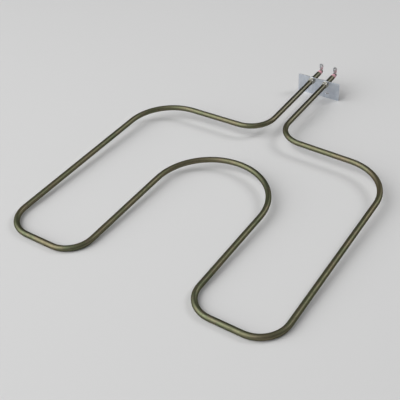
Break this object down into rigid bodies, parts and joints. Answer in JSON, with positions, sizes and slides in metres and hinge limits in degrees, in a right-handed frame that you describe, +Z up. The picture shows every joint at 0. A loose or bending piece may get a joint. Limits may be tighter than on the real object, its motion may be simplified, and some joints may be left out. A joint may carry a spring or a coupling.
{
  "type": "tubular heating element",
  "caption": "Lower oven heating element: one metal-sheathed tube bent into an M-shaped loop, its legs through a mounting plate to ceramic beads and blade terminals.",
  "frame": {"origin": "on the surface that the element rests on, under the middle of its bounding box", "axes": "+X to the right, seen from the front of the loop; +Y along the legs, from the loop to the terminals; +Z up"},
  "size_m": [0.4132, 0.5476, 0.0387],
  "materials": {
    "sheath": "bright drawn tube, oxidised to a dull olive bronze",
    "magnesia": "packed powder",
    "coil_wire": "resistance wire",
    "pin_steel": "plain drawn rod",
    "bead": "unglazed pink ceramic",
    "terminal": "bright plated strip",
    "bush": "turned, bright",
    "plate": "galvanised sheet"
  },
  "bodies": {
    "root": {"sheath_tube": "sheath", "magnesia_filling": "magnesia", "heating_coil": "coil_wire", "cold_pin_left": "pin_steel", "cold_pin_right": "pin_steel", "end_bead_left": "bead", "end_bead_right": "bead", "terminal_tab_left": "terminal", "terminal_tab_right": "terminal", "bush_left": "bush", "bush_right": "bush", "mounting_plate": "plate"}
  },
  "joints": []
}
